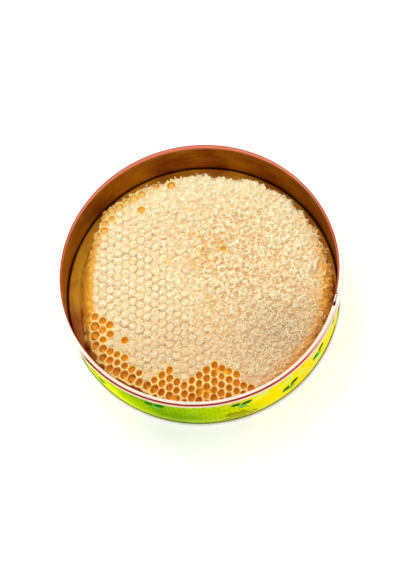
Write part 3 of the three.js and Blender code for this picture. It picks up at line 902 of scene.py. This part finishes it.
extra = len(comb_xyz) - len(plan)
numbers = {
    name: np.r_[plan[:, column], np.full(extra, on_side)]
    for name, column, on_side in (("share", 2, 0.0), ("open", 3, 0.0), ("luck", 4, 0.5), ("lean", 5, 0.0))
}
numbers["side"] = np.r_[np.zeros(len(plan)), np.ones(extra)]
numbers["fin"] = np.concatenate([np.zeros(len(plan)), *side_fin, [0.0]])
x, y = comb_xyz[:, 0], comb_xyz[:, 1]
angle, out, reach = comb_place(x, y)
inside = reach - out


def rim_stain(edges):
    """How far honey has stained the wax inwards from the cut edge."""
    stain = np.zeros(len(comb_xyz))
    for middle, spread, strength, full, fade in edges:
        here = strength * bell(angle, middle, spread) * np.clip(full - inside / fade, 0, 1)
        stain = np.maximum(stain, here)
    return stain


amber = rim_stain(AMBER_EDGES)
for spot_x, spot_y, spot_reach, strength in AMBER_SPOTS:
    amber = np.maximum(amber, strength * np.exp(-((np.hypot(x - spot_x, y - spot_y) / spot_reach) ** 2)))
painted_edge_light = sum(strength * np.exp(-((inside / fade) ** 2)) * bell(angle, middle, spread)
             for middle, spread, strength, fade in PAINTED_LIGHT_EDGES)
to_broken = np.min([np.hypot(x - bx, y - by) for bx, by in BROKEN_WALLS], axis=0)
slit_x, slit_y = x - SLIT_CAP[0], y - SLIT_CAP[1]
numbers["rough"] = torn_share(x, y)
numbers["amber"] = np.maximum(amber, numbers["side"] * 0.85)
# Grey marks the lower right, where the scraped wax lies in a painted shadow.
grey_x, grey_y = (x - GREY_PLACE[0]) / GREY_REACH[0], (y - GREY_PLACE[1]) / GREY_REACH[1]
numbers["grey"] = np.exp(-(grey_x**2) - grey_y**2)
numbers["rind"] = rim_stain(RIND_EDGES)
numbers["brown"] = rim_stain(BROWN_EDGE) * (1 - numbers["open"])
# Dome is lower in front: it flattens the caps there, and also darkens them as painted shade.
numbers["dome"] = 1 - FLATTER_CAPS[2] * np.clip((FLATTER_CAPS[0] - y) / FLATTER_CAPS[1], 0, 1)
numbers["painted_edge_light"] = np.clip(painted_edge_light, 0, 1)
numbers["gone"] = np.clip(1.5 - to_broken / BROKEN_REACH, 0, 1) * numbers["open"]
numbers["slit"] = np.exp(-(((slit_x + 0.6 * slit_y) / 1.2) ** 2) - ((slit_y - 0.5 * slit_x) / 0.5) ** 2)


def attribute(tree, name):
    """A number that the mesh carries, read in a shape tree."""
    return wired(tree, "GeometryNodeInputNamedAttribute", {0: name}, data_type="FLOAT")


def stored(geometry, name, value):
    inputs = {0: geometry, 2: name, 3: value}
    return wired(value.tree, "GeometryNodeStoreNamedAttribute", inputs, data_type="FLOAT", domain="POINT")


def profile(factor, *stops):
    """A drawn curve through these points."""
    made = wired(factor.tree, "ShaderNodeFloatCurve", {1: factor})
    mapping = made.socket.node.mapping
    curve = mapping.curves[0]
    while len(curve.points) < len(stops):
        curve.points.new(0.5, 0.5)
    for point, stop in zip(curve.points, stops):
        point.location = stop
        point.handle_type = "AUTO_CLAMPED"
    mapping.update()
    return made


def vector_maths(operation, first, second):
    inputs = {0: first, 3 if operation == "SCALE" else 1: second}
    return wired(first.tree, "ShaderNodeVectorMath", inputs, operation=operation)


def noise_field(tree, size, detail, offset=0.0):
    """Noise over a piece's points, with features of this many millimetres; its other output is a vector."""
    position = wired(tree, "GeometryNodeInputPosition")
    moved = vector_maths("ADD", position, (offset, offset, 0))
    return wired(tree, "ShaderNodeTexNoise", {"Vector": moved, "Scale": 1 / (size * MM), "Detail": detail})


def new_tree(name, inputs):
    """An empty shape tree with named inputs, and the values of those inputs."""
    tree = bpy.data.node_groups.new(name, "GeometryNodeTree")
    tree.interface.new_socket("Geometry", in_out="INPUT", socket_type="NodeSocketGeometry")
    for key, value in inputs.items():
        kind = type(value).__name__
        tree.interface.new_socket(key, in_out="INPUT", socket_type="NodeSocket" + kind[0].upper() + kind[1:])
    tree.interface.new_socket("Geometry", in_out="OUTPUT", socket_type="NodeSocketGeometry")
    sockets = tree.nodes.new("NodeGroupInput").outputs
    return tree, {socket.name: Value(tree, socket) for socket in sockets}


def grown(piece, geometry, given, inputs):
    """Ends the tree, runs it on the piece with these inputs, and leaves the result as its plain mesh."""
    tree = geometry.tree
    whole = wired(tree, "GeometryNodeRealizeInstances", {0: geometry})
    dressed = wired(tree, "GeometryNodeSetMaterial", {0: whole, 2: given["Finish"]})
    tree.links.new(dressed.socket, tree.nodes.new("NodeGroupOutput").inputs[0])
    modifier = piece.modifiers.new(tree.name, "NODES")
    modifier.node_group = tree
    for item in tree.interface.items_tree:
        if item.in_out == "INPUT" and item.name in inputs:
            modifier[item.identifier] = inputs[item.name]
    depsgraph = bpy.context.evaluated_depsgraph_get()
    evaluated = piece.evaluated_get(depsgraph)
    made = bpy.data.meshes.new_from_object(evaluated, preserve_all_data_layers=True, depsgraph=depsgraph)
    piece.modifiers.remove(modifier)
    piece.data = made
    made.polygons.foreach_set("use_smooth", np.ones(len(made.polygons), bool))


def comb_wax():
    """Cream wax, peach in the grooves with painted shade in them, and caps darkened in front as painted
    shade.
    Amber where honey shows through it, greyish where it was scraped and lies in a painted shadow, with
    painted light along the back edges and a painted glow on the sides.
    """
    material, tree, shader = new_material(
        "comb_wax", Roughness=0.5, IOR=1.44, Specular_IOR_Level=0.2, Subsurface_Weight=0.35,
        Subsurface_Scale=0.0012, Subsurface_Radius=(1.0, 0.72, 0.4),
    )
    share, opened, rough = (reading(tree, name) for name in ("share", "open", "rough"))
    cloud = grain(tree, 9, 4)
    mottle = grain(tree, 2.0, 4)
    lump = reading(tree, "lump") + mottle.within(0.3, 0.7, -0.2, 0.2)
    ragged = share + mottle.within(0.3, 0.7, -0.26, 0.26)

    neat = lump.within(0.1, 0.65).tint(WAX["cap, low"], WAX["cap, high"])
    # Caps are darkened towards the front as painted shade.
    neat = reading(tree, "dome").within(0.45, 0.95, 0.6, 0.0).tint(neat, WAX["cap, shaded in front"])
    torn = lump.ramp((0.02, (230, 172, 108)), (0.24, (248, 204, 145)), (0.46, (254, 231, 178)),
                     (0.76, (255, 246, 208)))
    # Grooves are peach where honey shows through thinner wax, and darker there as painted shade.
    groove = ragged.within(0.78, 0.96) * (1.0 - opened) * rough.within(0.0, 1.0, 1.0, 0.2)
    groove = groove * grain(tree, 4.5).within(0.38, 0.6, 0.55, 1.0)
    # The deepest parts of the grooves get a painted shadow in dark brown.
    crease = groove * grain(tree, 2.6, 2).within(0.5, 0.6) * ragged.within(0.86, 1.0)
    vein = abs(grain(tree, 3.0, 2) - 0.5).within(0.0, 0.075, 1.0, 0.0) * rough.within(0.0, 1.0, 1.0, 0.3)
    flecks = grain(tree, 1.5, 2).within(0.6, 0.68)
    amber = (reading(tree, "amber") + cloud.within(0.3, 0.7, -0.2, 0.2)).within(0.12, 0.7)
    amber = amber * lump.within(0.1, 0.75, 1.0, 0.35)
    # The lower right is greyed as a painted shadow over the scraped wax, with darker pits in it.
    scraped = reading(tree, "grey") * mottle.within(0.35, 0.65, 1.0, 0.45)
    wisp = abs(grain(tree, 3.4, 2, (1, 1, 0.1)) - 0.5).within(0.0, 0.036, 1.0, 0.0)
    wisp = wisp * grain(tree, 2.4).within(0.4, 0.55) * rough
    mouth = share.ramp((0.60, (226, 142, 22)), (0.70, (240, 168, 46)), (0.80, (252, 204, 102)),
                       (0.92, (255, 234, 158)))
    crest = reading(tree, "crest").within(0.2, 0.75) * mottle.within(0.3, 0.5, 0.5, 0.95)
    sunk = reading(tree, "slit").most(reading(tree, "gone")).within(0.35, 0.7)
    wax = layered(
        (rough * 0.95).tint(neat, torn),
        (groove, WAX["groove"]),
        (crease * 0.7, WAX["crease"]),
        (vein * 0.42, WAX["vein"]),
        (flecks * 0.75, WAX["fleck"]),
        (amber, WAX["amber"]),
        (scraped, WAX["scraped"]),
        (grain(tree, 1.3, 2).within(0.36, 0.45, 1.0, 0.0) * scraped, WAX["scraped pit"]),
        # Painted light along the back edges and over the left.
        (reading(tree, "painted_edge_light") * 0.6, WAX["painted_edge_light"]),
        (wisp * 0.8, WAX["wisp"]),
        (reading(tree, "rind"), mottle.tint(WAX["soaked, dark"], WAX["soaked, light"])),
        (reading(tree, "brown") * 0.75, WAX["shaded rim"]),
        (opened, mouth),
        (crest, opened.tint(WAX["torn crest"], WAX["mouth's crest"])),
        # The sides are amber wax lightened as a painted glow, as if lit through the wax.
        (reading(tree, "side") * 0.85, reading(tree, "fin").tint(WAX["flank"], WAX["flank's rib"])),
        (sunk, WAX["sunk"]),
    )
    relief = vein * -0.3 + (grain(tree, 1.0, 2) * 0.8 + mottle)
    finish(shader, wax, relief, 0.8, 0.8, amber.within(0.0, 0.9, 0.5, 0.3))
    return material


relief_inputs = {
    "Cap rise": 0.8 * MM,
    "Crest": 0.5 * MM,
    "Pit depth": 4.6 * MM,
    "Torn ridge": 1.0 * MM,
    "Torn lumps": 2.0 * MM,
    "Lump rise": 1.9 * MM,
    "Lump size": 2.7 * MM,
    "Lumps astray": 2.6 * MM,
    "Wander": 2.6 * MM,
    "Finish": comb_wax(),
}
tree, given = new_tree("cell_relief", relief_inputs)
share, opened, rough, grey = (attribute(tree, name) for name in ("share", "open", "rough", "grey"))
on_face = 1.0 - attribute(tree, "side")
frayed = (noise_field(tree, 1.9, 2, 0.2) - 0.5) * share.within(0.3, 0.9, 0.0, 0.7) + share
cap_stops = [(0, 1), (0.3, 0.97), (0.55, 0.86), (0.72, 0.64), (0.84, 0.32), (0.93, 0.1), (1, 0)]
cap_curve = profile(frayed, *cap_stops)
cap = cap_curve * given["Cap rise"] * (attribute(tree, "luck") * 0.8 + 0.6) * attribute(tree, "dome")
lumps = noise_field(tree, 2.6, 3) - 0.5
cap = lumps * (given["Cap rise"] * 1.6) + cap
astray = vector_maths("SCALE", noise_field(tree, 2.4, 2, 0.5).other(1), given["Lumps astray"])
astray = vector_maths("ADD", wired(tree, "GeometryNodeInputPosition"), astray)
astray = vector_maths("MULTIPLY", astray, (1, 1, 0))
clump_inputs = {"Vector": astray, "Scale": 1.0 / given["Lump size"], "Randomness": 1.0}
clumps = wired(tree, "ShaderNodeTexVoronoi", clump_inputs, "Distance")
clump = (1.0 - (clumps * 1.55) ** 2.0).most(0.0) * (axes(clumps.other("Color"))[0] * 0.75 + 0.4)
clump_rise = clump * given["Lump rise"]
cap = clump_rise * share.within(0.6, 1.0, 0.6, 0.25) + cap
cap = cap + attribute(tree, "lean") * MM * cap_curve
pit_curve = profile(share, (0, 0), (0.59, 0.02), (0.65, 0.5), (0.72, 0.78), (0.84, 0.92), (0.93, 1), (1, 1))
pit = (pit_curve - 1.0) * given["Pit depth"] + given["Crest"]
pit = attribute(tree, "gone").slide(pit, given["Pit depth"] * -0.36)
ridge_curve = profile(share, (0, 0), (0.6, 0), (0.78, 0.12), (0.88, 0.62), (0.95, 0.95), (1, 1))
standing = noise_field(tree, 5.0, 2, 0.3).within(0.4, 0.52) * grey.within(0.0, 0.9, 1.0, 0.12)
ridge = ridge_curve * standing
torn = lumps * given["Torn lumps"] + ridge * given["Torn ridge"] + cap * 0.4 + clump_rise
torn = torn * grey.within(0.0, 1.0, 1.0, 0.5)
closed = rough.slide(cap, torn) - attribute(tree, "slit") * given["Cap rise"]
height = opened.slide(closed, pit) * on_face
wander_share = rough.within(0.0, 1.0, 0.75, 1.0) * on_face * opened.within(0.0, 1.0, 1.0, 0.45)
wander = vector_maths("SUBTRACT", noise_field(tree, 6.5, 2, 0.7).other(1), (0.5, 0.5, 0.5))
wander = vector_maths("SCALE", wander, wander_share * given["Wander"])
offset = vector_maths("ADD", wander, wired(tree, "ShaderNodeCombineXYZ", {2: height}))
crest = (ridge * rough).most(opened * share.within(0.86, 0.98, 0.0, 0.6)) * on_face
shape = stored(stored(given["Geometry"], "crest", crest), "lump", clump)
shape = wired(tree, "GeometryNodeSetPosition", {0: shape, 3: offset})
comb = new_piece("comb_wax_cells", comb_xyz, comb_faces, numbers=numbers)
grown(comb, shape, given, relief_inputs)
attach(comb, "root")
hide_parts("comb")

# ---- Honey in the open cells ----
# Honey in the cells that the bees left open, or that the cut laid open. It stands a little below the wax,
# and its surface is drawn up where it wets the wall.
HONEY_RADIUS = 2.4
HONEY_DROP = 1.9
HONEY_DROP_NEAR = 0.7
HONEY_RISE_PALE = 0.9
HONEY_UNEVEN = 0.7
HONEY_PALE_EDGE = (122, 36, 12)  # direction, spread, width
HONEY_LIGHT = (236, 156, 10)
HONEY_DEEP = (216, 130, 4)
HONEY_PALE = (248, 202, 102)
POOL_SIDES = 14
POOL_RINGS = [(0.6, 0.01), (0.88, 0.04), (1.0, 0.1), (1.0, -0.4), (0.6, -0.5)]  # radius, height
POOL_FOOT = -0.52


def cell_honey():
    material, tree, shader = new_material(
        "cell_honey", Roughness=0.25, IOR=1.49, Specular_IOR_Level=0.12, Subsurface_Weight=0.05,
        Subsurface_Scale=0.002, Subsurface_Radius=(1.0, 0.6, 0.2),
    )
    cloud = grain(tree, 3.2)
    body = cloud.within(0.35, 0.65).tint(HONEY_DEEP, HONEY_LIGHT)
    body = reading(tree, "pale").tint(body, HONEY_PALE)
    finish(shader, body, cloud, 0.1, 0.3, cloud.within(0.3, 0.7, 0.12, 0.26))
    return material


pool_points = [(0.0, 0.0, 0.0)]
for r, z in POOL_RINGS:
    turns = np.linspace(0, 2 * math.pi, POOL_SIDES, endpoint=False)
    pool_points += [(r * math.cos(t), r * math.sin(t), z) for t in turns]
pool_points.append((0.0, 0.0, POOL_FOOT))
around = [(1 + k, 1 + (k + 1) % POOL_SIDES) for k in range(POOL_SIDES)]
pool_faces = [(0, here, after) for here, after in around]
for start in range(0, POOL_SIDES * (len(POOL_RINGS) - 1), POOL_SIDES):
    under = start + POOL_SIDES
    pool_faces += [(start + here, under + here, under + after, start + after) for here, after in around]
pool_faces += [(under + after, under + here, len(pool_points) - 1) for here, after in around]
pool = new_piece("honey_pool_form", np.array(pool_points) / MM, pool_faces)

honey_places = []
honey_numbers = {"width": [], "pale": []}
for cell in comb_cells.values():
    if cell["open"]:
        cx, cy = cell["centre"]
        away, out, reach = comb_place(cx, cy)
        pale = float(bell(away, *HONEY_PALE_EDGE[:2]) * (reach - out < HONEY_PALE_EDGE[2]))
        near = [tint for ax, ay, tint in OPEN_ALONE if math.hypot(cx - ax, cy - ay) < OPEN_ALONE_REACH]
        pale = max([pale] + near)
        drop = HONEY_DROP + HONEY_DROP_NEAR * bell(away, OPEN_EDGE[0], 30) - HONEY_RISE_PALE * pale
        level = face_height(cx, cy) - drop + HONEY_UNEVEN * (cell["luck"] - 0.5)
        honey_places.append((cx, cy, level))
        honey_numbers["width"].append(mouth_width(cell))
        honey_numbers["pale"].append(0.9 * pale)
honey_inputs = {"Radius": HONEY_RADIUS * MM, "Pool": pool, "Finish": cell_honey()}
tree, given = new_tree("honey_in_cells", honey_inputs)
pools = wired(tree, "GeometryNodeObjectInfo", {0: given["Pool"]}, "Geometry")
pool_size = given["Radius"] * attribute(tree, "width")
filled = wired(tree, "GeometryNodeInstanceOnPoints", {0: given["Geometry"], 2: pools, 6: pool_size})
honey = new_piece("honey_in_open_cells", honey_places, [], numbers=honey_numbers)
grown(honey, filled, given, honey_inputs)
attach(honey, "root")

# ---- Torn wax curls ----
# Thin curls and flakes of wax that a scraper lifted from the caps, standing on the rough half of the face,
# and shreds drawn out along the comb's cut edge.
CURL_HEIGHT = 0.55
CURL_THICK = 0.6
CURL_BENDS = [(1.7, 215), (1.3, 170), (1.0, 130), (2.3, 75), (0.8, 105), (4.0, 34)]  # radius, sweep
RINGED_SHARE = 0.35
SMALL_CURLS = 1150
CURL_FIELD = ((-60, 96), (-88, 80))
CURL_LEAN = 0.3
CURL_LIFT = 0.45
CURL_MARGIN = 2.5  # between the small curls and the comb's edge
FLAKES = [(22.5, -65.5), (31.3, -73.7), (24.6, -64.2), (52.0, -8.0), (58.0, -14.0), (49.0, -24.0)]
FLAKE_KIND = 3
SHRED_KIND = 6
SHRED_COUNT = 120
SHRED_LENGTH = 1.5
STRIP_CORNERS = [(-0.5, False), (0.5, False), (0.36, True), (-0.36, True)]  # across, on its upper edge
STRIP_FOOT = -0.4


def strip_form(name, stations):
    """A strip of wax with a four-cornered section, from (x, y, across x, across y, height, thickness)."""
    made = []
    for x, y, ax, ay, tall, thick in stations:
        for side, upper in STRIP_CORNERS:
            made.append((x + side * thick * ax, y + side * thick * ay, tall if upper else STRIP_FOOT))
    faces = [(0, 1, 2, 3), tuple(len(made) - 1 - k for k in range(4))]
    for step in range(len(stations) - 1):
        a, b = 4 * step, 4 * step + 4
        faces += [(b + k, b + (k + 1) % 4, a + (k + 1) % 4, a + k) for k in range(4)]
    return new_piece(name, made, faces)


def curl_stations(radius, sweep):
    """A strip bent round an arc, thinner and lower at both ends."""
    steps = 4 + round(sweep / 50)
    made = []
    for step in range(steps):
        share = step / (steps - 1)
        cos, sin = direction(sweep * (share - 0.5))
        fade = math.sin(math.pi * (0.1 + 0.8 * share)) ** 0.6
        made.append((radius * cos, radius * sin, cos, sin, CURL_HEIGHT * fade, CURL_THICK * fade))
    return made


shred_stations = [
    (SHRED_LENGTH * share, 0.5 * share * share, 0.2, 1.0, 0.35 - 0.5 * share, 1.8 * (1 - share) ** 0.8 + 0.1)
    for share in (1.0, 0.7, 0.35, 0.0, -0.4)
]
wax_forms = bpy.data.collections.new("wax_forms")
for number, stations in enumerate([curl_stations(*bend) for bend in CURL_BENDS] + [shred_stations]):
    form = strip_form(f"wax_form_{number}", stations)
    bpy.context.scene.collection.objects.unlink(form)
    wax_forms.objects.link(form)

draw = np.random.default_rng(11)
curl_places = []  # x, y, z, kind, turn, size, lean


def lay_curl(x, y, kind, size, lift=CURL_LIFT):
    lean = CURL_LEAN * draw.normal()
    curl_places.append((x, y, face_height(x, y) + lift, kind, draw.uniform(0, 2 * math.pi), size, lean))


for cell in comb_cells.values():
    cx, cy = cell["centre"]
    if not cell["open"] and draw.random() < RINGED_SHARE * torn_share(cx, cy):
        shift = draw.normal(0, 0.5, 2)
        lay_curl(cx + shift[0], cy + shift[1], int(draw.random() < 0.35), draw.uniform(0.75, 1.1), 0.75)
while len(curl_places) < SMALL_CURLS:
    cx, cy = (draw.uniform(*ends) for ends in CURL_FIELD)
    _, out, reach = comb_place(cx, cy)
    if reach - out > CURL_MARGIN and draw.random() < 0.05 + 0.95 * torn_share(cx, cy) and not is_open(cx, cy):
        lay_curl(cx, cy, int(draw.integers(1, 6)), draw.uniform(0.6, 1.1))
for cx, cy in FLAKES:
    lay_curl(cx, cy, FLAKE_KIND, 1.5, 1.2)
for step in range(SHRED_COUNT):
    k = int(draw.integers(len(rim)))
    if beside(rim_angle[k], RAGGED_EDGE[0]) < RAGGED_EDGE[1]:
        x, y, z = rim_xyz[k]
        turn = math.radians(rim_angle[k]) + draw.normal(0, 0.6)
        size = draw.uniform(0.5, 1.25)
        curl_places.append((x, y, z + 0.2, SHRED_KIND, turn, size, draw.normal(0, 0.2)))


def curl_wax():
    """Pale cream wax, and amber in the shreds along the cut edge."""
    material, tree, shader = new_material(
        "curl_wax", Roughness=0.42, IOR=1.44, Specular_IOR_Level=0.1, Subsurface_Weight=0.15,
        Subsurface_Scale=0.001, Subsurface_Radius=(1.0, 0.8, 0.5),
    )
    wax = grain(tree, 6).within(0.4, 0.6).tint((255, 235, 178), (255, 248, 208))
    is_shred = reading(tree, "kind").within(SHRED_KIND - 0.6, SHRED_KIND - 0.4)
    finish(shader, is_shred.tint(wax, (240, 196, 110)), grain(tree, 0.8, 2), 0.2, 0.1)
    return material


curl_inputs = {"Forms": wax_forms, "Seed": 7, "Finish": curl_wax()}
tree, given = new_tree("torn_curls", curl_inputs)
kinds = wired(tree, "GeometryNodeCollectionInfo", {0: given["Forms"], 1: True, 2: True})
kind, turn, size, lean = (attribute(tree, name) for name in ("kind", "turn", "size", "lean"))
facing = wired(tree, "ShaderNodeCombineXYZ", {0: lean, 2: turn})
facing = wired(tree, "FunctionNodeEulerToRotation", {0: facing})
taller = wired(tree, "FunctionNodeRandomValue", {2: 0.7, 3: 1.4, 8: given["Seed"]}, 1, data_type="FLOAT")
sizes = wired(tree, "ShaderNodeCombineXYZ", {0: size, 1: size, 2: size * taller})
places = {0: given["Geometry"], 2: kinds, 3: True, 4: kind, 5: facing, 6: sizes}
curled = wired(tree, "GeometryNodeInstanceOnPoints", places)
curl_array = np.array(curl_places)
curl_numbers = dict(zip(("kind", "turn", "size", "lean"), curl_array[:, 3:].T))
curls = new_piece("torn_wax_curls", curl_array[:, :3], [], numbers=curl_numbers)
grown(curls, curled, given, curl_inputs)
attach(curls, "root")
for form in [pool, *wax_forms.objects]:
    bpy.data.objects.remove(form)

# ---- Floor, light and camera ----
# What the piece is seen with, and no part of it: a plain pale floor, an even white surround, one large soft
# light from behind on the left, and the camera.
FLOOR_REACH = 3
FLOOR_GLOW = 0.2
SURROUND = 0.94
KEY_PLACE = (-0.35, 1.0, 1.0)
KEY_SIZE = 0.9
KEY_POWER = 8.5
ELEVATION = math.radians(67.45)
ROLL = math.radians(10.30)
DISTANCE = 0.8528
AIM_HEIGHT = 0.023
LENS = 75.79
SHIFT = (-0.67 / 570, -4.16 / 570)

floor_material, tree, shader = new_material("pale_floor", Roughness=0.9, Emission_Strength=FLOOR_GLOW)
shade = grain(tree, 60).tint((0.95, 0.95, 0.95, 1), (0.98, 0.98, 0.98, 1))
tree.links.new(shade.socket, shader.inputs["Base Color"])
floor_corners = np.array([(-1, -1, 0), (1, -1, 0), (1, 1, 0), (-1, 1, 0)]) * FLOOR_REACH / MM
floor = new_piece("pale_floor", floor_corners, [(0, 1, 2, 3)], [floor_material])

scene = bpy.context.scene
scene.world = bpy.data.worlds.new("white_surround")
scene.world.use_nodes = True
surround = scene.world.node_tree.nodes["Background"]
surround.inputs[0].default_value = (1.0, 1.0, 1.0, 1)
surround.inputs[1].default_value = SURROUND
scene.view_settings.view_transform = "Standard"

light = bpy.data.lights.new("key_light", "AREA")
light.shape = "DISK"
light.size = KEY_SIZE
light.energy = KEY_POWER
lamp = bpy.data.objects.new("key_light", light)
lamp.location = KEY_PLACE
lamp.rotation_mode = "QUATERNION"
lamp.rotation_quaternion = (-Vector(KEY_PLACE)).to_track_quat("-Z", "Y")
scene.collection.objects.link(lamp)

camera_data = bpy.data.cameras.new("camera")
camera_data.lens = LENS
camera_data.sensor_width = 36
camera_data.shift_x, camera_data.shift_y = SHIFT
camera = bpy.data.objects.new("camera", camera_data)
scene.collection.objects.link(camera)
back = Vector((0, -math.cos(ELEVATION), math.sin(ELEVATION)))
right = Vector((1, 0, 0))
up = back.cross(right)
axes_rows = (
    right * math.cos(ROLL) - up * math.sin(ROLL),
    right * math.sin(ROLL) + up * math.cos(ROLL),
    back,
)
turned_camera = Matrix(axes_rows).transposed().to_4x4()
camera.matrix_world = Matrix.Translation(back * DISTANCE + Vector((0, 0, AIM_HEIGHT))) @ turned_camera
scene.camera = camera
